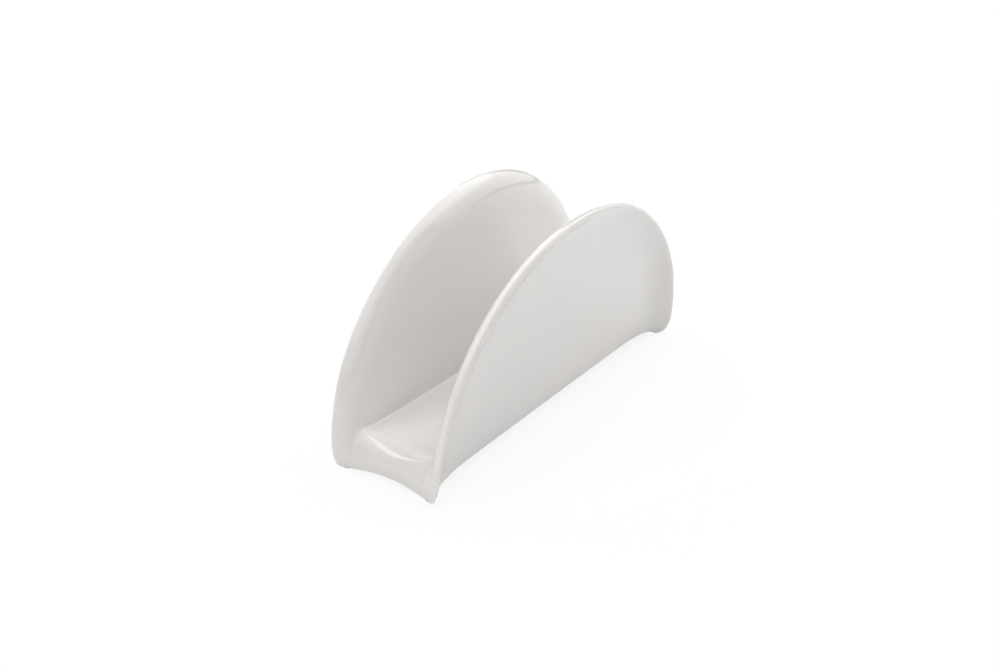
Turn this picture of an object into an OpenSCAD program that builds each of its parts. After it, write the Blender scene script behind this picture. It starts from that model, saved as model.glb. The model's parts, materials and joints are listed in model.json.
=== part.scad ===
/* [Overall] */
// Length over both flared ends
length = 130; // [100:1:160]
// Height of the leaves above the table
height = 65; // [50:1:80]
// Clear width of the napkin channel, measured at the deck
channel_w = 21; // [18:0.5:30]
// Outward lean of each leaf, in degrees
lean = 4.5; // [0:0.5:7]

/* [Leaves] */
// Thickness of the flat part of a leaf
wall_t = 3.5; // [3:0.25:4.5]
// Height of the straight foot of the arch, below its half ellipse
spring_h = 6; // [4:0.5:10]
// Radius of the rim's bottom corners
corner_r = 1.75; // [1.25:0.5:2.75]
// Width of the rolled band along the inside of the rim
roll_w = 9.25; // [6:0.25:10]
// Width of the hollow sweep along the outside of the rim
sweep_w = 14; // [10:0.5:18]
// How far the lip stands proud of the flat outside
lip_proud = 2.2; // [1:0.2:4]
// Rounding radius of the lip's outer edge
lip_r = 0.9; // [0.6:0.1:1.4]
// How much further the rim flares out at its two low ends
bow = 3; // [0:0.25:4]

/* [Deck and aprons] */
// Height of the deck's top above the table
deck_h = 10; // [8:0.5:16]
// Thickness of the deck and of its turned-down ends
deck_t = 4.5; // [3:0.25:5]
// Outer radius where the deck turns down to the table
bend_r = 6; // [4:0.5:7]
// How far the middle of an apron lies behind the tips of the leaves
apron_setback = 2.6; // [1.5:0.1:4]
// Size of the cove where the deck meets a leaf
cove_r = 1.5; // [1:0.1:2.5]

/* [Feet] */
// Height of the long bottom edges between the feet
side_rise = 3; // [1.5:0.25:4.5]
// Length of the raised straight stretch of each long edge
side_span = 88; // [50:1:100]
// Height of the short bottom edges between the feet
end_rise = 1.3; // [0.8:0.1:3]
// Height of the long bottom edges where they meet the feet
foot_rise = 2; // [1:0.25:3]
// Length of a foot, along the holder
foot_l = 4.5; // [3.5:0.25:6]
// How far the rim draws back in at the table, below its flare
foot_tuck = 2.4; // [0:0.2:3]
// Thickness of the unglazed patch under each foot
patch_t = 0.4; // [0.3:0.1:0.6]
// Width across a foot patch
patch_d = 2.25; // [1.5:0.25:2.5]

/* [Hidden] */

glaze = "#dedad7";
biscuit = "#e9e1d3";
$fn = 48;

// How far a cutting shape runs past what it cuts
overrun = 5;

// Share of the flare that an apron's sides reach into before they end inside the leaves
reach_share = 0.68;

// Counts of facets along the rim, round a rim corner and across the lip
rim_steps = 56;
corner_steps = 5;
roll_steps = 9;
lip_steps = 5;
sweep_steps = 7;
cove_steps = 4;
floor_steps = 8;
lap_steps = 2;
bend_steps = 9;
face_steps = 4;

half_l = length/2;

// Inner face of the back leaf at a height above the table
function inner_y(z) = channel_w/2 + (z - deck_h)*tan(lean);

// Outline of a leaf in the XZ plane, from the left foot over the top to the right foot
function corner_point(t) = [-(half_l - corner_r) + corner_r*cos(t), corner_r + corner_r*sin(t)];
function arch_point(t) = [-half_l*cos(t), spring_h + (height - spring_h)*sin(t)];
left_corner = [for (i = [0:corner_steps]) corner_point(-90 - 90*i/corner_steps)];
right_corner = [for (i = [corner_steps:-1:0]) [-left_corner[i][0], left_corner[i][1]]];
arch = [for (i = [0:rim_steps]) arch_point(180*i/rim_steps)];
outline = concat(left_corner, arch, right_corner);

// Section of the rim as [distance in from the outline, distance out from the inner face,
// share of the low ends' extra flare]. The roll is a quarter ellipse from the flat inside
// to the crest; the lip's outer edge is rounded from there, and the sweep runs hollow back
// to the flat outside. The extra flare fades out towards both flat faces.
lip_y = wall_t + lip_proud;
crest_y = lip_y - lip_r;
lip_centre = [lip_r, crest_y];
function fade(inset, width) = pow(1 - inset/width, 2);
sweep_top = 2*lip_proud/(sweep_w - lip_r);
lip_turn = 90 + atan(sweep_top);
roll = [for (i = [0:roll_steps]) let (t = 90*i/roll_steps)
    [roll_w*(1 - sin(t)), crest_y*(1 - cos(t)), pow(sin(t), 2)]];
lip = [for (i = [1:lip_steps])
    let (t = 180 - lip_turn*i/lip_steps, p = lip_centre + lip_r*[cos(t), sin(t)])
    [p[0], p[1], fade(p[0], sweep_w)]];
sweep_start = lip[lip_steps - 1];
function sweep_point(s) =
    let (inset = sweep_start[0] + (sweep_w - sweep_start[0])*s)
    [inset, wall_t + (sweep_start[1] - wall_t)*pow(1 - s, 2), fade(inset, sweep_w)];
sweep = [for (i = [1:sweep_steps]) sweep_point(i/sweep_steps)];
section = concat(roll, lip, sweep);

// Extra flare at an outline point: wide at the low ends, drawn in again at the table
function flare(p) = bow*pow(p[0]/half_l, 4) - foot_tuck*pow(max(0, 1 - p[1]/spring_h), 2);

// A point of the leaf's skin: the outline drawn in towards the foot of its centre line
function skin_point(p, s) =
    let (z = p[1]*(1 - s[0]/height))
    [p[0]*(1 - s[0]/half_l), inner_y(z) + s[1] + flare(p)*s[2], z];

// A four-sided piece of skin as two triangles
function halves(a, b, c, d) = [[a, b, c], [a, c, d]];

// The leaf between two rows of its outline, closed down to the foot of its centre line
module leaf_form(first_row, last_row) {
    rows = last_row - first_row + 1;
    cols = len(section);
    low = rows*cols;
    points = concat(
        [for (i = [first_row:last_row], s = section) skin_point(outline[i], s)],
        [[0, inner_y(0), 0], [0, inner_y(0) + wall_t, 0]]);
    skin = [for (i = [0:rows - 2], j = [0:cols - 2], f = halves(
        i*cols + j, i*cols + j + 1, (i + 1)*cols + j + 1, (i + 1)*cols + j)) f];
    inner_panel = concat([for (i = [0:rows - 1]) i*cols], [low]);
    outer_panel = concat([low + 1], [for (i = [rows - 1:-1:0]) i*cols + cols - 1]);
    first_face = [for (j = [cols - 1:-1:0]) j];
    last_face = [for (j = [0:cols - 1]) (rows - 1)*cols + j];
    closing = concat(
        halves(0, low, low + 1, cols - 1),
        halves(low - 1, low + 1, low, low - cols));
    polyhedron(points, concat(skin, closing, [inner_panel, outer_panel, first_face, last_face]),
        convexity = 6);
}

// Middle of a foot patch: under the crest of the rim, just inside its rounded corner
patch_x = half_l - corner_r - patch_d/2 + patch_t;
patch_y = inner_y(0) + wall_t + patch_d/2;

// What is cut away under the holder so that only four small feet reach the table: shallow
// ramps along the sides and a straight raised edge across the ends, each with a sloping
// step at the feet, and last the layer that the patches take up
foot_x = half_l - foot_l;
foot_y = inner_y(0) + wall_t;

module side_ramps() {
    rotate([90, 0, 0])
        linear_extrude(height + channel_w, center = true)
            polygon([
                [-foot_x - overrun, -overrun], [foot_rise - foot_x, foot_rise],
                [-side_span/2, side_rise], [side_span/2, side_rise],
                [foot_x - foot_rise, foot_rise], [foot_x + overrun, -overrun]]);
}

module end_ramps() {
    rotate([90, 0, 90])
        linear_extrude(length + overrun, center = true)
            polygon([
                [-foot_y - overrun, -overrun], [end_rise - foot_y, end_rise],
                [foot_y - end_rise, end_rise], [foot_y + overrun, -overrun]]);
}

module patch_layer() {
    translate([0, 0, patch_t - overrun/2])
        cube([length + overrun, height + channel_w, overrun], center = true);
}

module back_leaf() {
    color(glaze)
        difference() {
            leaf_form(0, len(outline) - 1);
            side_ramps();
            end_ramps();
            patch_layer();
        }
}

module front_leaf() {
    mirror([0, 1, 0]) back_leaf();
}

// The deck is a plain slab between the leaves, with a cove along each leaf. It stops
// where the leaves still stand flat, and the aprons carry on from there.
deck_end = half_l - apron_setback - bend_r - cove_r - deck_t/2;
cove_top_y = inner_y(deck_h + cove_r);
cove = [for (i = [0:cove_steps]) let (t = i/cove_steps)
    [cove_top_y + cove_r*(t - 1), deck_h + cove_r*t*t]];
deck_side = concat(
    [[inner_y(deck_h - deck_t), deck_h - deck_t]],
    [for (i = [cove_steps:-1:0]) cove[i]]);

module deck() {
    color(glaze)
        rotate([90, 0, 90])
            linear_extrude(2*deck_end, center = true)
                polygon(concat(deck_side,
                    [for (i = [len(deck_side) - 1:-1:0]) [-deck_side[i][0], deck_side[i][1]]]));
}

// Path of an apron in the XZ plane at a depth below its face: along the deck, round the
// bend and down to the table, each point with the direction that faces out there
bend_x = half_l - apron_setback - bend_r;
function path_point(depth, s, t) = let (r = max(bend_r - depth, cove_r))
    s < 0 ? [deck_end, deck_h - depth, 0] :
    t < 0 ? [bend_x + bend_r - depth, (deck_h - depth - r)*(1 - s), 90] :
    [bend_x + bend_r - depth - r + r*sin(t), deck_h - depth - r + r*cos(t), t];
function apron_path(depth) = concat(
    [path_point(depth, -1, 0)],
    [for (i = [0:bend_steps]) path_point(depth, 0, 90*i/bend_steps)],
    [for (i = [1:face_steps]) path_point(depth, i/face_steps, -1)]);

// How far the face stands out at a distance from the middle: a tight cove on the deck
// that widens round the bend into one hollow sweep from lip to lip
reach_y = inner_y(0) + (crest_y + bow)*reach_share;
function cove_start(turn) = (cove_top_y - cove_r)*(1 - turn/90);
function proud(y, turn) =
    let (span = (turn == 0 ? cove_top_y : cove_top_y + (reach_y - cove_top_y)*turn/90) - cove_start(turn))
    let (t = min(1, max(0, abs(y) - cove_start(turn))/span))
    (cove_r + (apron_setback/2 - cove_r)*turn/90)*t*t;
function station_y(station, turn) = station[0] + station[1]*lap(turn);
function face_point(station, p) =
    let (y = station_y(station, p[2]), out = proud(y, p[2]))
    [p[0] + out*sin(p[2]), y, p[1] + out*cos(p[2])];

// Places across an apron where its path is drawn, each as [distance from the middle, share
// of the lap]. The lap is how far the apron runs on into the leaf: half the wall at the back
// and beside the deck, and on the face, round the bend, more and more of the flare.
function lap(turn) = wall_t/2 + (reach_y - cove_top_y - wall_t/2)*turn/90;
half_stations = concat(
    [for (i = [1:floor_steps]) [cove[0][0]*i/floor_steps, 0]],
    [for (i = [1:cove_steps]) [cove[i][0], 0]],
    [for (i = [1:lap_steps]) [cove_top_y, i/lap_steps]]);
last_station = len(half_stations) - 1;
stations = concat(
    [for (i = [last_station:-1:0]) -half_stations[i]], [[0, 0]], half_stations);

// The right bottom corner of the back leaf, as far up as the apron reaches
corner_top = (deck_h + cove_r)*half_l/deck_end;
corner_rows = len([for (p = outline) if (p[0] > 0 && p[1] < corner_top) p]) + 1;
module leaf_corner() {
    leaf_form(len(outline) - 1 - corner_rows, len(outline) - 1);
}

module right_apron() {
    face = apron_path(0);
    back = apron_path(deck_t);
    cols = 2*len(face);
    points = [for (station = stations)
        each concat(
            [for (p = face) face_point(station, p)],
            [for (i = [len(back) - 1:-1:0])
                [back[i][0], station_y(station, 0), back[i][1]]])];
    last = len(stations) - 1;
    skin = [for (k = [0:last - 1], j = [0:cols - 1], f = halves(
        k*cols + j, k*cols + (j + 1)%cols, (k + 1)*cols + (j + 1)%cols, (k + 1)*cols + j)) f];
    cap = [for (j = [0:len(face) - 2], f = halves(j, j + 1, cols - 2 - j, cols - 1 - j)) f];
    near_cap = [for (f = cap) [f[2], f[1], f[0]]];
    far_cap = [for (f = cap) [for (k = f) last*cols + k]];
    color(glaze)
        difference() {
            polyhedron(points, concat(skin, near_cap, far_cap), convexity = 6);
            leaf_corner();
            mirror([0, 1, 0]) leaf_corner();
            end_ramps();
            patch_layer();
        }
}

module left_apron() {
    mirror([1, 0, 0]) right_apron();
}

// The bare patches that the four feet stand on
module foot_patches() {
    color(biscuit)
        for (x = [-patch_x, patch_x], y = [-patch_y, patch_y])
            translate([x, y, 0]) cylinder(h = patch_t, d = patch_d);
}

front_leaf();
back_leaf();
deck();
left_apron();
right_apron();
foot_patches();
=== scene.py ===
# %% [markdown]
# # A glazed porcelain napkin holder
#
# Two upright half-oval leaves hold the napkins between them, and a low deck joins them near the
# table. The whole thing is one piece of porcelain. Such a piece is usually cast from liquid clay
# in a plaster mould, trimmed, fired, dipped in a clear glaze and fired again, standing on four
# small feet that are wiped free of glaze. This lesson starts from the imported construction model,
# and adds what its plain solids leave out: the soft curves, the thin lip and the glaze.

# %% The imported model
import json
import math

import bmesh
import bpy
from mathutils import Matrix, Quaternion, Vector

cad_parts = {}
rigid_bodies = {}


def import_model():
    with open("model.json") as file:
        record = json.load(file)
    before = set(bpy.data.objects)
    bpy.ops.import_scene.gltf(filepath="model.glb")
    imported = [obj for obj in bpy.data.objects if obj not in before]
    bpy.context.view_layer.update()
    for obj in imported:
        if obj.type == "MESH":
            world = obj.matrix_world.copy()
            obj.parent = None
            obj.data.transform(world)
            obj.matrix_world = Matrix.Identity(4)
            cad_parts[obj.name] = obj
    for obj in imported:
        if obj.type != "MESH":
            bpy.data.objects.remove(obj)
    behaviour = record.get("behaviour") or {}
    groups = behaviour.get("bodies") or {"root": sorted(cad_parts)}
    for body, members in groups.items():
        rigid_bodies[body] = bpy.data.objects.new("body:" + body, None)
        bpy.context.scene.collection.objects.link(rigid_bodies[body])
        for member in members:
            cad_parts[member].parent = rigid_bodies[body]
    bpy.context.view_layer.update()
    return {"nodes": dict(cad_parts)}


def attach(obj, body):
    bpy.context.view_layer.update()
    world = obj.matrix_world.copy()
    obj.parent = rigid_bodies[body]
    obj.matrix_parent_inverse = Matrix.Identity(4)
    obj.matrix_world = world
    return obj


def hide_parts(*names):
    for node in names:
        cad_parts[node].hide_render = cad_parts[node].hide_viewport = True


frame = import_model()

print("nodes:", sorted(frame["nodes"]))

# %% [markdown]
# ## Sizes
#
# The numbers are millimetres, and the main ones are the construction model's own. x runs along
# the holder, y across it and z upwards. A leaf is described in its own plane, as seen from the
# front, by a point (x, z), and by how far the skin lies out from the inner face at that point.
# Sizes that only one part of the shape needs come later, with that part.

# %% Sizes of the holder
LENGTH, HEIGHT = 130.0, 65.0
HALF = LENGTH / 2
CHANNEL, LEAN = 21.0, 4.5  # the gap between the leaves at the deck, and their lean in degrees
WALL = 3.5
SPRING, CORNER = 6.0, 1.75  # where the half oval springs from, and the rounding at the table
print("holder:", LENGTH, "by", HEIGHT, "mm, for napkins up to", CHANNEL, "mm thick")

# %% [markdown]
# ## The two faces of a leaf
#
# The leaves of the real holder lean apart, and they aren't quite flat: each inner face bows out a
# little towards its ends, and the rim flares more there than at the top. Both are smooth powers
# of the distance from the middle. They could also be drawn as curves, but a power is easy to tune,
# because one number sets how far it goes and the other how suddenly.

# %% Bow, dish and lean
DISH = 2.2  # how far the inner face bows out at the ends
BOW, BOW_POWER = 3.0, 4  # extra flare of the rim at the ends
FOOT_TUCK, TUCK_HEIGHT, TUCK_POWER = 1.7, 5.0, 1.4  # the rim is drawn in again at the table
DECK_TOP, DECK_THICK = 10.0, 4.5
SOFFIT = DECK_TOP - DECK_THICK


def mix(a, b, t):
    return a + (b - a) * t


def clamp(t):
    """A share held between 0 and 1."""
    return min(1.0, max(0.0, t))


def inner_y(z):
    """Distance of the flat inner face from the middle plane, at a height."""
    return CHANNEL / 2 + (z - DECK_TOP) * math.tan(math.radians(LEAN))


def dish(x):
    """How far the inner face bows outwards from its flat plane, towards the ends of a leaf."""
    return DISH * (x / HALF) ** 2


def flare(x, z):
    """Extra flare of the rim at an outline point: wide low down, drawn in again at the table."""
    tuck = FOOT_TUCK * clamp(1 - z / TUCK_HEIGHT) ** TUCK_POWER
    return BOW * (x / HALF) ** BOW_POWER - tuck


print("gap at the top: %.1f mm, flare at an end: %.1f mm" % (2 * inner_y(HEIGHT), flare(HALF, 8)))

# %% [markdown]
# ## The bottom edge
#
# The holder touches the table only at its four corners. Between them the bottom edge of a leaf
# stands clear, so that nothing under it makes it rock, and little of it can stick to the kiln
# shelf. From a corner inwards there is a foot, a short step and a shallow ramp, and then a
# straight run. The subdivision that comes later rounds them, so straight lines are enough here.

# %% Feet and bottom edge
FOOT_LIFT, FOOT_RISE, FOOT_LENGTH = -0.05, 2.4, 4.4  # underside, top of the step, length
SIDE_RISE, SIDE_SPAN = 2.9, 88.0  # the straight run: its height and its length
END_RISE, TIP_RISE = 1.05, 0.25  # the end face's lower edge, in its middle and beside a leaf
EDGE = 0.6  # rounding of the straight bottom edges
UNDER_LIFT = EDGE / 3  # the skin's own corner stands this much above the edge's lowest line


def bottom_z(x):
    """Height of a leaf's bottom edge: a foot, a short step, a shallow ramp, then straight."""
    foot, start = HALF - FOOT_LENGTH, SIDE_SPAN / 2
    step = clamp((foot - abs(x)) / FOOT_RISE)
    if step < 1:
        return mix(FOOT_LIFT, FOOT_RISE, step)
    run = clamp((foot - FOOT_RISE - abs(x)) / (foot - FOOT_RISE - start))
    return mix(FOOT_RISE, SIDE_RISE, run)


print("clear of the table: %.2f mm in the middle of a side" % bottom_z(0))

# %% [markdown]
# ## The net of a leaf
#
# A glazed shape has no hard corners, so it is modelled as a cage of four-sided faces that a
# Subdivision Surface rounds. The cage of one leaf starts as a flat grid for the inner face. Its
# border is extruded twelve times: the first rings roll over the rim, the next go round the lip,
# and the last sweep back into the outer face. Each corner of the cage remembers its column, row
# and ring, so operators can build the net first, and one function can place it afterwards. The
# alternative is to push points about by hand, which gives a lumpy rim that the gloss shows up.
#
# Rows 0 to 3 go from the bottom edge to the deck's underside, row 5 is the deck's top and row 6
# lies just above it. The rest climb to the crown. The first columns lie close together, because
# the turned-down end of the deck grows out of them.

# %% Layout of the net
COLUMNS, ROWS, RINGS = 20, 15, 12
SOFFIT_ROW, DECK_ROW, LOWER_ROWS = 3, 5, 6  # the deck's underside, its top, and just above it
UPPER_ROWS = ROWS - LOWER_ROWS
ROLL_RINGS, LIP_RINGS = 4, 8  # the last ring of the roll, and of the lip
END_COLUMNS = [0.0, 1.0, 3.5, 4.5]  # how far the first columns lie behind the end face
LAST_END = len(END_COLUMNS) - 1
UNDER_SHARES = [0.0, 0.25, 0.65, 1.0]  # rows 0 to 3, from the bottom edge to the underside
ABOVE_DECK = 1.5
TINY = 1e-6  # keeps a division by a length of nothing from failing
print("net of a leaf:", COLUMNS, "by", ROWS, "faces, with", RINGS, "rings round the rim")

# %% [markdown]
# ## The half oval
#
# Seen from the front, a leaf is half an ellipse that stands on short upright shoulders. Points at
# equal steps of its angle would crowd at the shoulders, and crowded points show as a kink in the
# reflection on the lip. So the arch is first walked in very small steps, and its points are then
# picked at equal lengths along it.

# %% Points along the arch
FINE_STEPS = 2000


def arch_points(count):
    """Points at equal steps along the arch, from low on the left side over the top."""
    start = math.asin((DECK_TOP + ABOVE_DECK) / HEIGHT)
    fine = [(-HALF * math.cos(t), SPRING + (HEIGHT - SPRING) * math.sin(t))
            for t in (start + (math.pi - 2 * start) * i / FINE_STEPS
                      for i in range(FINE_STEPS + 1))]
    run = [0.0]
    for a, b in zip(fine, fine[1:]):
        run.append(run[-1] + math.dist(a, b))
    points, k = [], 0
    for i in range(count + 1):
        while k < FINE_STEPS and run[k] < run[-1] * i / count:
            k += 1
        points.append(fine[k])
    print("arch: %.1f mm long, a point every %.1f mm" % (run[-1], run[-1] / count))
    return points


def arch_at_height(z):
    """Left outline point at a height."""
    rise = max(0.0, (z - SPRING) / (HEIGHT - SPRING))
    corner = max(0.0, CORNER - z)
    x = -HALF * math.sqrt(1 - rise * rise) + CORNER - math.sqrt(CORNER ** 2 - corner ** 2)
    return x, z


ARCH = arch_points(2 * UPPER_ROWS + COLUMNS)

# %% [markdown]
# ## Where the end face comes in
#
# At each end the deck turns down to the table, and this end face is hollow when it is seen from
# above: its middle lies a little behind the tips of the leaves. Low down, the rim of a leaf has
# to follow that hollow, and higher up it becomes a plain rolled rim. A share for each row says
# how much of the one and how much of the other it is, and that is what blends them.

# %% The hollow of the end face
LIP_PROUD, LIP_RADIUS = 2.2, 1.15  # how far the lip stands out of the wall, and its rounding
SETBACK = 2.6
APRON_SHARE = [1, 1, 1, 0.9, 0.7, 0.4, 0.1] + [0] * UPPER_ROWS


def front_offset(y):
    """How far the end face lies behind the tips of the leaves, at a distance from the middle."""
    tip = inner_y(0) + WALL + LIP_PROUD - LIP_RADIUS + BOW
    return SETBACK * (1 - min(1, abs(y) / tip) ** 2)


def lower_height(row, x, least=0.0):
    """Height of the rows up to the one just above the deck, at a distance from the middle."""
    base = max(bottom_z(x), least) + UNDER_LIFT
    if row <= SOFFIT_ROW:
        return base + (SOFFIT - base) * UNDER_SHARES[row]
    above = [SOFFIT + DECK_THICK / 2, DECK_TOP, DECK_TOP + ABOVE_DECK]
    return above[row - SOFFIT_ROW - 1]


print("the end face is hollowed by %.2f mm" % front_offset(0))

# %% [markdown]
# ## The inner face
#
# The inner face is a grid inside four borders: the outline of the leaf, drawn in by the width of
# the rolled rim. A Coons patch fills it, which means that each point is blended from the four
# borders by its share across and up. Near the ends the rows beside the deck climb a little,
# because that inside corner is widely rounded on the real holder.
#
# Only the left half is ever worked out. The right half asks for the mirrored column and turns x
# round, so the two ends can't come out different.

# %% Outline and borders
ROLL_WIDTH = 9.25
TIP_INSET = 0.3  # how far the tip's lowest corner is drawn in, as a share of its rounding


def outline_point(column, row):
    """The rim's outermost point (x, z) for a border corner of the grid."""
    if column > COLUMNS / 2:
        x, z = outline_point(COLUMNS - column, row)
        return -x, z
    if row == ROWS:
        return ARCH[UPPER_ROWS + column]
    if column == 0 and row > LOWER_ROWS:
        return ARCH[row - LOWER_ROWS]
    if column == 0 and row > 0:
        z = lower_height(row, HALF)
        return arch_at_height(z / (1 - ROLL_WIDTH / HEIGHT) if row == LOWER_ROWS else z)
    if column == 0:
        return (-HALF + CORNER * TIP_INSET, FOOT_LIFT)
    x = panel_point(column, 0)[0]
    return (x, bottom_z(x))


def border_inner(row):
    """Left border of the inner face at a row."""
    x, z = outline_point(0, row)
    hollow = front_offset(inner_y(z) + dish(HALF - SETBACK))
    inset = mix(ROLL_WIDTH, hollow, APRON_SHARE[row])
    if row == 0:
        return (-HALF + inset, TIP_RISE)
    if row <= DECK_ROW:
        return (x + inset, z)
    return (x * (1 - inset / HALF), z * (1 - inset / HEIGHT))


print("outline beside the deck's top: x = %.2f mm" % outline_point(0, DECK_ROW)[0])

# %% The grid of the inner face
CORNER_CLIMB = {4: [0.6], 5: [1.5, 1.2, 0.7, 0.5, 0.2], 6: [1.4, 1.1, 0.7, 0.5, 0.2]}


def corner_climb(column, row):
    """How far the net climbs the leaf at an end of the deck, where the corner is wide."""
    climbs = CORNER_CLIMB.get(row, [])
    return climbs[column] if column < len(climbs) else 0.0


def patch(left, right, low, high, u, v):
    """A point of a Coons patch. Its four borders are functions of a share from 0 to 1."""
    def one(k):
        ruled = (1 - v) * low(u)[k] + v * high(u)[k] + (1 - u) * left(v)[k] + u * right(v)[k]
        corners = ((1 - u) * (1 - v) * low(0)[k] + u * (1 - v) * low(1)[k]
                   + (1 - u) * v * high(0)[k] + u * v * high(1)[k])
        return ruled - corners
    return one(0), one(1)


def panel_point(column, row):
    """A corner (x, z) of the inner face's grid."""
    if column > COLUMNS / 2:
        x, z = panel_point(COLUMNS - column, row)
        return -x, z
    if row <= LOWER_ROWS:
        x = border_inner(row)[0] + END_COLUMNS[min(column, LAST_END)]
        if column > LAST_END:
            x = x * (COLUMNS / 2 - column) / (COLUMNS / 2 - LAST_END)
        return x, lower_height(row, x, TIP_RISE) + corner_climb(column, row)

    def left(v):
        return border_inner(LOWER_ROWS + round(v * UPPER_ROWS))

    def right(v):
        x, z = left(v)
        return -x, z

    def low(u):
        return panel_point(round(u * COLUMNS), LOWER_ROWS)

    def high(u):
        x, z = ARCH[UPPER_ROWS + round(u * COLUMNS)]
        return x * (1 - ROLL_WIDTH / HALF), z * (1 - ROLL_WIDTH / HEIGHT)

    return patch(left, right, low, high, column / COLUMNS, (row - LOWER_ROWS) / UPPER_ROWS)


print("inner face: from x = %.1f mm at the deck to z = %.1f mm at the crown"
      % (panel_point(0, DECK_ROW)[0], panel_point(COLUMNS // 2, ROWS)[1]))

# %% [markdown]
# ## The outer face
#
# Outside, the wall is flat in the middle and sweeps up to the proud lip over the last 14 mm. The
# sweep is narrower near the feet, where there is no room for it. The grid is made like the inner
# one, and a second function says how far out the skin lies at any point of it.

# %% The grid of the outer face
SWEEP_WIDTH, SWEEP_POWER = 14.0, 2.6
SWEEP_SHARE = [0.2, 0.25, 0.35, 0.45, 0.6, 0.75, 0.9] + [1.0] * UPPER_ROWS
ROW_STEP = 0.5  # the least that a row lies above the one below it, over the bottom edge


def back_border(column, row):
    """A border corner (x, z) of the outer face's grid: the outline, drawn in by the sweep."""
    x, z = outline_point(column, row)
    inset = SWEEP_WIDTH * SWEEP_SHARE[row]
    if row == 0:
        return (-HALF + inset, bottom_z(-HALF + inset) + EDGE)
    least = bottom_z(x) + EDGE + ROW_STEP * row
    return (x * (1 - inset / HALF), max(z * (1 - inset / HEIGHT), least))


def back_point(column, row):
    """A corner (x, z) of the outer face's grid."""
    if column > COLUMNS / 2:
        x, z = back_point(COLUMNS - column, row)
        return -x, z

    def left(v):
        return back_border(0, round(v * ROWS))

    def right(v):
        x, z = left(v)
        return -x, z

    def low(u):
        start, inner_start = back_border(0, 0)[0], panel_point(0, 0)[0]
        x = start + (panel_point(round(u * COLUMNS), 0)[0] - inner_start) * start / inner_start
        return (x, bottom_z(x) + EDGE)

    def high(u):
        return back_border(round(u * COLUMNS), ROWS)

    return patch(left, right, low, high, column / COLUMNS, row / ROWS)


def outer_out(x, z, flared=True):
    """How far the outer face lies out from the inner one: flat, then swept up to the lip."""
    rise = max(0.0, z - SPRING) / (HEIGHT - SPRING)
    reach = max(TINY, math.hypot(x / HALF, rise))
    inset = max(0.0, HALF * (1 - reach))
    hollow = clamp(1 - max(0.0, inset - LIP_RADIUS) / (SWEEP_WIDTH - LIP_RADIUS))
    extra = flare(x / reach, z) * clamp(1 - inset / SWEEP_WIDTH) ** SWEEP_POWER if flared else 0.0
    return WALL + LIP_PROUD * hollow ** SWEEP_POWER + extra


print("out from the inner face: %.1f mm in the middle, %.1f mm at the crown"
      % (outer_out(0, HEIGHT / 2), outer_out(0, HEIGHT)))

# %% [markdown]
# ## The rolled rim
#
# The rim is what the eye goes to: it rolls out of the inner face in a quarter of an ellipse, goes
# round a fine lip, and runs down the other side into the sweep. Along the bottom edge there is no
# roll, only a small rounding. So each border corner also has a flatness, from 0 on the rim to 1
# under the wall, and the change between them is spread over four columns at each foot.

# %% Rounding of the lip
FOOT_RADIUS = 1.0
RADIUS_FROM, RADIUS_OVER = 1, 8  # the height where the lip starts to get its own rounding
LIP_TURN = math.radians(110)  # how far the lip turns round before the sweep takes over
FLATNESS = [0.0, 0.1, 0.6, 0.9]  # by column from a tip
UNDERSIDE = [1.0, 0.85, 0.6, 0.25, 0.0]  # how high the foot's underside lies, by ring
LAST_RINGS_POWER = 1.4  # crowds the last rings towards the lip, where the sweep bends most


def lip_radius(z):
    """Rounding of the lip: fine along the rim, and finer still at a foot."""
    return mix(FOOT_RADIUS, LIP_RADIUS, clamp((z - RADIUS_FROM) / RADIUS_OVER))


def flatness(column, row):
    """How far a corner of the cage belongs to the flat bottom edge: 0 on the rim, 1 below."""
    nearest = min(column, COLUMNS - column)
    if row > 0:
        return 0.0
    return FLATNESS[nearest] if nearest < len(FLATNESS) else 1.0


print("lip: %.2f mm round at a foot, %.2f mm at the crown" % (lip_radius(0), lip_radius(HEIGHT)))


# %% Roll and lip
def roll_point(row, ring, outline, inner, crest, tip_flare, low):
    """A corner of the rings that roll from the inner face over to the crest of the rim."""
    turn = math.pi / 2 * ring / ROLL_RINGS
    flank = ring / ROLL_RINGS
    start = inner_y(outline[1]) + dish(inner[0])
    flank_y = mix(start, inner_y(outline[1]) + crest + tip_flare, flank)
    flank_inset = front_offset(flank_y) / front_offset(start)
    share = APRON_SHARE[row] * (1 - low)
    inwards = mix(1 - math.sin(turn), flank_inset, share)
    out = (crest * mix(1 - math.cos(turn), flank, share)
           + tip_flare * mix(math.sin(turn) ** 2, flank, share)
           + dish(inner[0]) * mix(math.cos(turn) ** 2, 1 - flank, share))
    up = inwards if row else mix(UNDERSIDE[ring], inwards, low)
    return mix(outline[0], inner[0], inwards), mix(outline[1], inner[1], up), out


def lip_point(ring, outline, outer, radius, lip_out, tip_flare):
    """A corner of the rings that go round the lip and then sweep into the outer face."""
    reach = math.dist(outline, outer)
    if ring <= LIP_RINGS:
        turn = math.pi - LIP_TURN * (ring - ROLL_RINGS) / (LIP_RINGS - ROLL_RINGS)
        inwards = radius * (1 + math.cos(turn))
        faded = tip_flare * (1 - inwards / SWEEP_WIDTH) ** SWEEP_POWER
        out = lip_out + radius * (math.sin(turn) - 1) + faded
    else:
        rest = ((ring - LIP_RINGS) / (RINGS - LIP_RINGS)) ** LAST_RINGS_POWER
        inwards = mix(radius * (1 + math.cos(math.pi - LIP_TURN)), reach, rest)
        out = None
    share = inwards / max(reach, TINY)
    x, z = mix(outline[0], outer[0], share), mix(outline[1], outer[1], share)
    return x, z, outer_out(x, z) if out is None else out


print("rim:", ROLL_RINGS, "rings of roll,", LIP_RINGS - ROLL_RINGS, "round the lip and",
      RINGS - LIP_RINGS, "of sweep")


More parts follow.
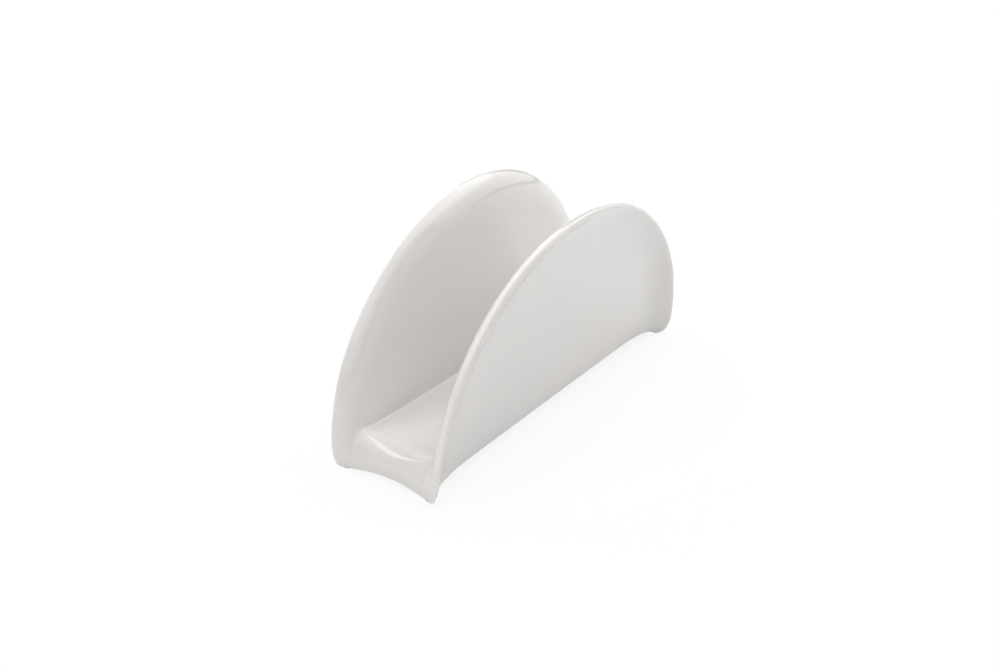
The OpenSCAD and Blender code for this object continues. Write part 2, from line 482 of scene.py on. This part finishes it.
# %% Any corner of the cage
def rim_point(column, row, ring):
    """A corner of the rings round the rim: (x, z) and its distance out from the inner face."""
    outline, low = outline_point(column, row), flatness(column, row)
    radius = mix(lip_radius(outline[1]), EDGE, low)
    lip_out = outer_out(*outline, flared=False) if low else WALL + LIP_PROUD
    tip_flare = flare(*outline) * (1 - low)
    if ring <= ROLL_RINGS:
        crest = mix(lip_out - radius, EDGE, low)
        return roll_point(row, ring, outline, panel_point(column, row), crest, tip_flare, low)
    return lip_point(ring, outline, back_point(column, row), radius, lip_out, tip_flare)


def cage_point(column, row, ring):
    """The place of any corner of a leaf's cage."""
    border = column in (0, COLUMNS) or row in (0, ROWS)
    if ring == 0:
        x, z = panel_point(column, row)
        out = dish(x)
    elif ring == RINGS and not border:
        x, z = back_point(column, row)
        out = outer_out(x, z)
    else:
        x, z, out = rim_point(column, row, ring)
    return Vector((x, inner_y(z) + out, z))


print("crown of the back leaf: y = %.1f to %.1f mm"
      % (cage_point(COLUMNS // 2, ROWS, 0).y, cage_point(COLUMNS // 2, ROWS, LIP_RINGS).y))

# %% [markdown]
# ## Building the cage of a leaf
#
# Now the operators make the net. A grid is the inner face, and a flipped duplicate of it is the
# outer face. The border edges of the grid are extruded ring by ring. The last ring lands exactly
# on the border of the duplicate, because the same function places both, and merging doubles then
# closes the leaf. The corners carry their column, row and ring in layers of their own, which
# extruding and duplicating copy along, so only the ring has to be written anew.
#
# One more layer is for the glaze. It is made now, before any corner is looked at, because adding
# a layer later would make all the corners that Python already holds invalid.

# %% The net of the back leaf
cage = bmesh.new()
column_of = cage.verts.layers.float.new("column")
row_of = cage.verts.layers.float.new("row")
ring_of = cage.verts.layers.float.new("ring")
thin_glaze = cage.verts.layers.float.new("thin_glaze")
panel = bmesh.ops.create_grid(cage, x_segments=COLUMNS, y_segments=ROWS, size=1)["verts"]
for v in panel:  # the grid runs from -1 to 1 each way
    v[column_of] = round((v.co.x + 1) / 2 * COLUMNS)
    v[row_of] = round((v.co.y + 1) / 2 * ROWS)
outer = bmesh.ops.duplicate(cage, geom=cage.verts[:] + cage.edges[:] + cage.faces[:])["geom"]
for v in (g for g in outer if isinstance(g, bmesh.types.BMVert)):
    v[ring_of] = RINGS
bmesh.ops.reverse_faces(cage, faces=[g for g in outer if isinstance(g, bmesh.types.BMFace)])
border = [e for e in cage.edges if e.is_boundary and e.verts[0][ring_of] == 0]
for ring in range(1, RINGS + 1):
    made = bmesh.ops.extrude_edge_only(cage, edges=border)["geom"]
    for v in (g for g in made if isinstance(g, bmesh.types.BMVert)):
        v[ring_of] = ring
    border = [g for g in made if isinstance(g, bmesh.types.BMEdge)
              and all(v[ring_of] == ring for v in g.verts)]
print("cage of a leaf:", len(cage.faces), "faces")

# %% [markdown]
# ## Opening it for the deck
#
# The deck isn't stuck on, it grows out of the leaves. So the faces of the inner grid where it
# joins are taken out: a long band one deck thick, and at each end a short band that goes down to
# the table, for the end that turns down. What is left is a hole with a rim of edges. Then every
# corner gets its place.

# %% The hole, and all places
DOUBLES = 1e-4  # corners closer than this are one corner


def in_bridge(face):
    """Whether the deck or one of its turned-down ends grows out of this face of the grid."""
    if any(v[ring_of] for v in face.verts):
        return False
    row = min(v[row_of] for v in face.verts)
    column = min(v[column_of] for v in face.verts)
    at_end = column < LAST_END or column >= COLUMNS - LAST_END
    return row < DECK_ROW and (row >= SOFFIT_ROW or at_end)


bmesh.ops.delete(cage, geom=[f for f in cage.faces if in_bridge(f)], context="FACES")
for v in cage.verts:
    v.co = cage_point(round(v[column_of]), round(v[row_of]), round(v[ring_of]))
bmesh.ops.remove_doubles(cage, verts=cage.verts[:], dist=DOUBLES)
print("with the hole:", len(cage.faces), "faces,", sum(e.is_boundary for e in cage.edges),
      "edges round it")

# %% [markdown]
# ## Growing the deck
#
# Mirroring gives the front leaf, and bridging the two holes gives a straight deck with its ends
# already turned down. Its long edges are cut into twelve, so that there are corners to shape.
# The deck's end is not a plain box: its face is hollow, it bends over into the deck in a wide
# curve, and its lower edge rises in the middle. Those places are written down for the middle
# plane only, and towards each wall they fade into the wall's own net.

# %% Mirror and bridge
STATIONS = 12
bmesh.ops.mirror(cage, geom=cage.verts[:] + cage.edges[:] + cage.faces[:], axis="Y", merge_dist=0)
rims = [e for e in cage.edges if e.is_boundary]
made = bmesh.ops.bridge_loops(cage, edges=rims)
across = [e for e in made["edges"] if e.verts[0].co.y * e.verts[1].co.y < 0]
cut = bmesh.ops.subdivide_edges(cage, edges=across, cuts=STATIONS - 1, use_grid_fill=True)
print("bridge:", len(rims), "rim edges,", len(across), "edges across")

# %% The deck in the middle plane
SOFFIT_GAP = 0.6  # the inside of an end stops this much below the deck's underside
BEND = {  # by column and row: depth behind the end face, and height
    (0, 4): (0.7, 7.3),
    (0, 5): (2.9, 9.35),
    (1, 5): (5.8, 10.1),
    (2, 5): (8.2, 10.0),
    (3, 5): (10.2, 10.0),
}
STATION_SHARES = [0.0, 0.25, 0.5, 0.7, 0.85, 0.93]  # close together where the deck meets a wall


def middle_point(column, row):
    """The place (x, z), in the middle plane, of a corner of the deck's cage."""
    if column > COLUMNS / 2:
        x, z = middle_point(COLUMNS - column, row)
        return -x, z
    face = -HALF + SETBACK
    if row <= SOFFIT_ROW and column <= LAST_END:
        base = END_RISE + UNDER_LIFT
        return (face + END_COLUMNS[column],
                base + (SOFFIT - SOFFIT_GAP - base) * UNDER_SHARES[row])
    if row <= SOFFIT_ROW:
        return panel_point(column, row)[0], SOFFIT
    if column > LAST_END:
        return panel_point(column, row)
    depth, z = BEND[(column, row)]
    return face + depth, z


def station_share(step):
    """Where a cut across the deck lies, as a share of the way from the middle to the wall."""
    return math.copysign(STATION_SHARES[min(len(STATION_SHARES) - 1, abs(step))], step)


print("stations from the middle to a wall:", [station_share(i) for i in range(STATIONS // 2)])

# %% Shaping the deck
for v in (g for g in cut["geom_inner"] if isinstance(g, bmesh.types.BMVert)):
    column, row = round(v[column_of]), round(v[row_of])
    near, far = cage_point(column, row, 0), middle_point(column, row)
    share = station_share(round(v.co.y / near.y * STATIONS / 2))
    centred = 1 - share * share
    x, z = mix(near.x, far[0], centred), mix(near.z, far[1], centred)
    v.co = Vector((x, share * (inner_y(z) + dish(x)), z))
print("deck: its middle lies at z = %.2f mm at an end" % middle_point(0, DECK_ROW)[1])

# %% [markdown]
# ## Where the glaze runs thin
#
# Molten glaze pulls away from a sharp crest and thickens in the hollows. The rings round the crest
# of the rim therefore get a number that falls off to nothing three rings away, and the material
# reads it under the layer's name. Then the cage is finished: the normals are made to point
# outwards, and millimetres become metres.

# %% Finishing the cage
THIN_OVER = 3  # rings
MILLIMETRE = 0.001
for v in cage.verts:
    v[thin_glaze] = clamp(1 - abs(v[ring_of] - ROLL_RINGS - 1) / THIN_OVER)
bmesh.ops.recalc_face_normals(cage, faces=cage.faces[:])
bmesh.ops.scale(cage, vec=Vector((MILLIMETRE, MILLIMETRE, MILLIMETRE)), verts=cage.verts[:])
print("whole cage:", len(cage.faces), "faces,", sum(e.is_boundary for e in cage.edges),
      "open edges,", sum(len(f.verts) != 4 for f in cage.faces), "faces without four sides")

# %% [markdown]
# ## The glazed body
#
# The cage becomes one mesh, since the real body is one casting, and it stands for the leaves, the
# deck and both ends of the construction model. Two levels of subdivision are enough: the net is
# already fine across the lip. A Bevel modifier on a box-like mesh would be the other way, but its
# corners keep flat faces between them, and gloss gives those away.

# %% Object and rounding
mesh = bpy.data.meshes.new("glazed_body")
cage.to_mesh(mesh)
cage.free()
for polygon in mesh.polygons:
    polygon.use_smooth = True
body = bpy.data.objects.new("glazed_body", mesh)
bpy.context.collection.objects.link(body)
rounding = body.modifiers.new("rounding", "SUBSURF")
rounding.levels = rounding.render_levels = 2
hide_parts("front_leaf", "back_leaf", "deck", "left_apron", "right_apron")
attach(body, "root")
print("glazed body:", len(mesh.polygons), "faces before rounding, about",
      2 * len(mesh.polygons) * 4 ** rounding.levels, "triangles after it")


# %% [markdown]
# ## Materials
#
# Colours are written as the sRGB hex values that a colour picker shows. Blender's shaders work in
# linear light, so one function turns them. A second function adds a node with its settings and
# links in one line, and that is all the machinery that the materials need.

# %% Colours and nodes
def linear(hex_colour):
    """An sRGB hex colour as linear red, green, blue and alpha."""
    parts = [int(hex_colour[i:i + 2], 16) / 255 for i in (1, 3, 5)]
    return [c / 12.92 if c <= 0.04045 else ((c + 0.055) / 1.055) ** 2.4 for c in parts] + [1.0]


def add_node(tree, kind, settings=None, links=None):
    """Adds a node with its settings, by attribute or socket, and its links, by socket."""
    node = tree.nodes.new(kind)
    for key, value in (settings or {}).items():
        if isinstance(key, str) and hasattr(node, key):
            setattr(node, key, value)
        else:
            node.inputs[key].default_value = value
    for key, socket in (links or {}).items():
        tree.links.new(socket, node.inputs[key])
    return node


def new_material(name):
    """A material and its empty node tree."""
    material = bpy.data.materials.new(name)
    material.use_nodes = True
    material.node_tree.nodes.clear()
    return material, material.node_tree


print("#808080 is %.2f in linear light" % linear("#808080")[0])

# %% [markdown]
# ## Clear-glazed porcelain
#
# Porcelain is a white, fine clay that is fired until it is nearly glass, under a clear glaze of
# real glass. The eye gets two things from it: a soft white depth from the body, and a sharp but
# faint mirror on top. A Principled shader makes that with a rather matt base, whose own shine is
# low, and a full coat at the index of glass, 1.5.
#
# The colour is a warm white with two slow changes in it. Glaze that has pooled is a shade greyer
# than glaze that is thin, in clouds about 28 mm across, and the crest of the rim is lightest. A
# glaze is also never quite level. Its ripple, about 7 mm from wave to wave and a hundredth of a
# millimetre high, breaks the edges of reflections a little, so it goes to the coat alone.

# %% The glaze's colour
CLOUD_WIDTH, CLOUD_SOFTNESS = 0.028, 0.45
THIN_WEIGHT = 0.45
glaze, tree = new_material("clear_glazed_porcelain")
place = add_node(tree, "ShaderNodeTexCoord").outputs["Object"]
cloud = add_node(tree, "ShaderNodeTexNoise",
                 {"Scale": 1 / CLOUD_WIDTH, "Detail": 2.0, "Roughness": CLOUD_SOFTNESS},
                 {"Vector": place})
thin = add_node(tree, "ShaderNodeAttribute", {"attribute_name": "thin_glaze"})
depth = add_node(tree, "ShaderNodeMath", {"operation": "MULTIPLY_ADD", 1: THIN_WEIGHT},
                 {0: thin.outputs["Fac"], 2: cloud.outputs["Fac"]})
tone = add_node(tree, "ShaderNodeValToRGB", {}, {"Fac": depth.outputs[0]})
pooled, drained = tone.color_ramp.elements
pooled.position, pooled.color = 0.3, linear("#e5e3e1")
drained.position, drained.color = 1.0, linear("#eae6e2")
print("glaze: clouds", CLOUD_WIDTH / MILLIMETRE, "mm across")

# %% The glaze's gloss
RIPPLE_WIDTH, RIPPLE_HEIGHT = 0.007, 0.00001
GLASS_IOR = 1.5
ripple = add_node(tree, "ShaderNodeTexNoise",
                  {"Scale": 1 / RIPPLE_WIDTH, "Detail": 1.0, "Roughness": 0.4},
                  {"Vector": place})
skin = add_node(tree, "ShaderNodeBump", {"Strength": 1.0, "Distance": RIPPLE_HEIGHT},
                {"Height": ripple.outputs["Fac"]})
shader = add_node(tree, "ShaderNodeBsdfPrincipled", {
    "Roughness": 0.4, "IOR": GLASS_IOR, "Specular IOR Level": 0.25,
    "Coat Weight": 1.0, "Coat Roughness": 0.05, "Coat IOR": GLASS_IOR},
    {"Base Color": tone.outputs["Color"], "Coat Normal": skin.outputs["Normal"]})
add_node(tree, "ShaderNodeOutputMaterial", {}, {"Surface": shader.outputs["BSDF"]})
body.data.materials.append(glaze)
print("glaze: ripple", RIPPLE_WIDTH / MILLIMETRE, "mm from wave to wave")

# %% [markdown]
# ## Bare porcelain
#
# The feet stood on the kiln shelf, so their undersides were wiped before the glaze was fired.
# Bare porcelain is matt, a little darker and yellower, and feels like fine sandpaper. Its grain is
# really under 0.05 mm. It is drawn at 0.3 mm here, because a finer one would vanish in the
# render. The patches keep the construction model's own meshes and only get this finish.

# %% The foot patches
GRAIN_WIDTH, GRAIN_HEIGHT = 0.0003, 0.00004
bare, tree = new_material("bare_porcelain")
place = add_node(tree, "ShaderNodeTexCoord").outputs["Object"]
grain = add_node(tree, "ShaderNodeTexNoise",
                 {"Scale": 1 / GRAIN_WIDTH, "Detail": 3.0, "Roughness": 0.6},
                 {"Vector": place})
tone = add_node(tree, "ShaderNodeValToRGB", {}, {"Fac": grain.outputs["Fac"]})
pit, peak = tone.color_ramp.elements
pit.position, pit.color = 0.3, linear("#d9d5ce")
peak.position, peak.color = 0.7, linear("#e8e5df")
rub = add_node(tree, "ShaderNodeBump", {"Strength": 0.6, "Distance": GRAIN_HEIGHT},
               {"Height": grain.outputs["Fac"]})
shader = add_node(tree, "ShaderNodeBsdfPrincipled", {"Roughness": 0.8, "IOR": GLASS_IOR},
                  {"Base Color": tone.outputs["Color"], "Normal": rub.outputs["Normal"]})
add_node(tree, "ShaderNodeOutputMaterial", {}, {"Surface": shader.outputs["BSDF"]})
patches = frame["nodes"]["foot_patches"]
patches.data.materials.clear()
patches.data.materials.append(bare)
print("bare porcelain on:", patches.name)

# %% [markdown]
# ## The floor
#
# The holder stands on a sheet of white paper. To be quite white in the picture, paper would need
# more light than the glaze can take without burning out. So the camera alone sees it glow a
# little, through Is Camera Ray, while the object gets the light of plain paper from it. The part
# that stays diffuse keeps the holder's soft shadow.

# %% White paper
FLOOR_REACH = 3  # metres, each way
CAMERA_GLOW = 0.85
floor_mesh = bmesh.new()
bmesh.ops.create_grid(floor_mesh, x_segments=1, y_segments=1, size=FLOOR_REACH)
mesh = bpy.data.meshes.new("floor")
floor_mesh.to_mesh(mesh)
floor_mesh.free()
floor = bpy.data.objects.new("floor", mesh)
bpy.context.collection.objects.link(floor)
paper, tree = new_material("white_paper")
diffuse = add_node(tree, "ShaderNodeBsdfDiffuse", {"Color": linear("#f8f8f8")})
glow = add_node(tree, "ShaderNodeEmission", {"Color": linear("#ffffff"), "Strength": 1.0})
path = add_node(tree, "ShaderNodeLightPath")
glow_share = add_node(tree, "ShaderNodeMath", {"operation": "MULTIPLY", 1: CAMERA_GLOW},
                      {0: path.outputs["Is Camera Ray"]})
blend = add_node(tree, "ShaderNodeMixShader", {},
                 {0: glow_share.outputs[0], 1: diffuse.outputs[0], 2: glow.outputs[0]})
add_node(tree, "ShaderNodeOutputMaterial", {}, {"Surface": blend.outputs[0]})
floor.data.materials.append(paper)
print("floor:", 2 * FLOOR_REACH, "m square")

# %% [markdown]
# ## The studio
#
# The world is white where the camera sees it, and only a faint fill for everything else. The
# light comes from large softboxes a metre away. Large is what makes them soft: a glaze mirrors
# its lamps, and a wide, weak one is a gentle sheen where a small, strong one is a white streak.
# Only one is narrow. It leaves the bright line where the deck bends down at the near end.
#
# Their powers, in watts, were balanced so that each face is as light as on the real object, and
# no white is lost. The back one is held down, because it shines straight at the back leaf.

# %% World
FILL = 0.05
world = bpy.data.worlds.new("studio")
bpy.context.scene.world = world
world.use_nodes = True
tree = world.node_tree
tree.nodes.clear()
path = add_node(tree, "ShaderNodeLightPath")
seen = add_node(tree, "ShaderNodeBackground", {"Color": linear("#ffffff"), "Strength": 1.0})
fill = add_node(tree, "ShaderNodeBackground", {"Color": linear("#ffffff"), "Strength": FILL})
blend = add_node(tree, "ShaderNodeMixShader", {},
                 {0: path.outputs["Is Camera Ray"], 1: fill.outputs[0], 2: seen.outputs[0]})
add_node(tree, "ShaderNodeOutputWorld", {}, {"Surface": blend.outputs[0]})
print("world fill:", FILL)


# %% Softboxes
def direction(azimuth, elevation):
    """The way towards a lamp or camera: azimuth 0 is the front, and negative is to the left."""
    a, e = math.radians(azimuth), math.radians(elevation)
    return Vector((math.sin(a) * math.cos(e), -math.cos(a) * math.cos(e), math.sin(e)))


def softbox(name, azimuth, elevation, size, power):
    """A rectangular soft lamp a metre away, facing the holder."""
    lamp = bpy.data.lights.new(name, "AREA")
    lamp.shape, lamp.size, lamp.size_y = "RECTANGLE", size[0], size[1]
    lamp.energy = power
    made = bpy.data.objects.new(name, lamp)
    bpy.context.collection.objects.link(made)
    made.location = direction(azimuth, elevation)
    made.rotation_euler = (-made.location).to_track_quat("-Z", "Y").to_euler()


softbox("left_strip", -134, 54, (0.2, 0.6), 1.2)
softbox("left_top_softbox", -90, 62, (1.2, 1.2), 3.4)
softbox("left_softbox", -115, 25, (1.0, 1.0), 1.1)
softbox("back_softbox", 165, 25, (1.2, 1.0), 6.0)
softbox("front_left_softbox", -45, 40, (1.0, 1.0), 2.3)
softbox("right_softbox", 68, 30, (1.2, 1.0), 4.2)
softbox("right_top_softbox", 80, 60, (1.2, 1.2), 5.4)
print("lamps: %.1f W in all" % sum(lamp.energy for lamp in bpy.data.lights))

# %% [markdown]
# ## The camera
#
# The holder is seen from its left end, from a little above, at a short distance, so the near end
# looks clearly larger than the far one. The lens follows from how large the holder is in the
# picture, and a small shift puts it where it stands there. The camera is also tilted a few
# degrees about its own axis. Its distance, tilt and angles were solved from corners of the
# holder that are easy to find, such as the feet and the crowns.

# %% Camera
AZIMUTH, ELEVATION, TILT = -57.93, 27.14, 3.01  # degrees
DISTANCE, AIM_HEIGHT = 0.6, 0.035  # metres
ZOOM = 3.39
SHIFT_X, SHIFT_Y = 17.06, -42.03  # thousandths of the picture's width
SENSOR = 36
back = direction(AZIMUTH, ELEVATION)
lens = bpy.data.cameras.new("camera")
lens.sensor_width = SENSOR
lens.lens = SENSOR * ZOOM * DISTANCE
lens.shift_x, lens.shift_y = -SHIFT_X / 1000, SHIFT_Y / 1000
camera = bpy.data.objects.new("camera", lens)
bpy.context.collection.objects.link(camera)
camera.location = Vector((0, 0, AIM_HEIGHT)) + back * DISTANCE
aim = (-back).to_track_quat("-Z", "Y") @ Quaternion((0, 0, 1), math.radians(TILT))
camera.rotation_euler = aim.to_euler()
bpy.context.scene.camera = camera
bpy.context.scene.view_settings.view_transform = "Standard"
print("lens: %.1f mm" % lens.lens)
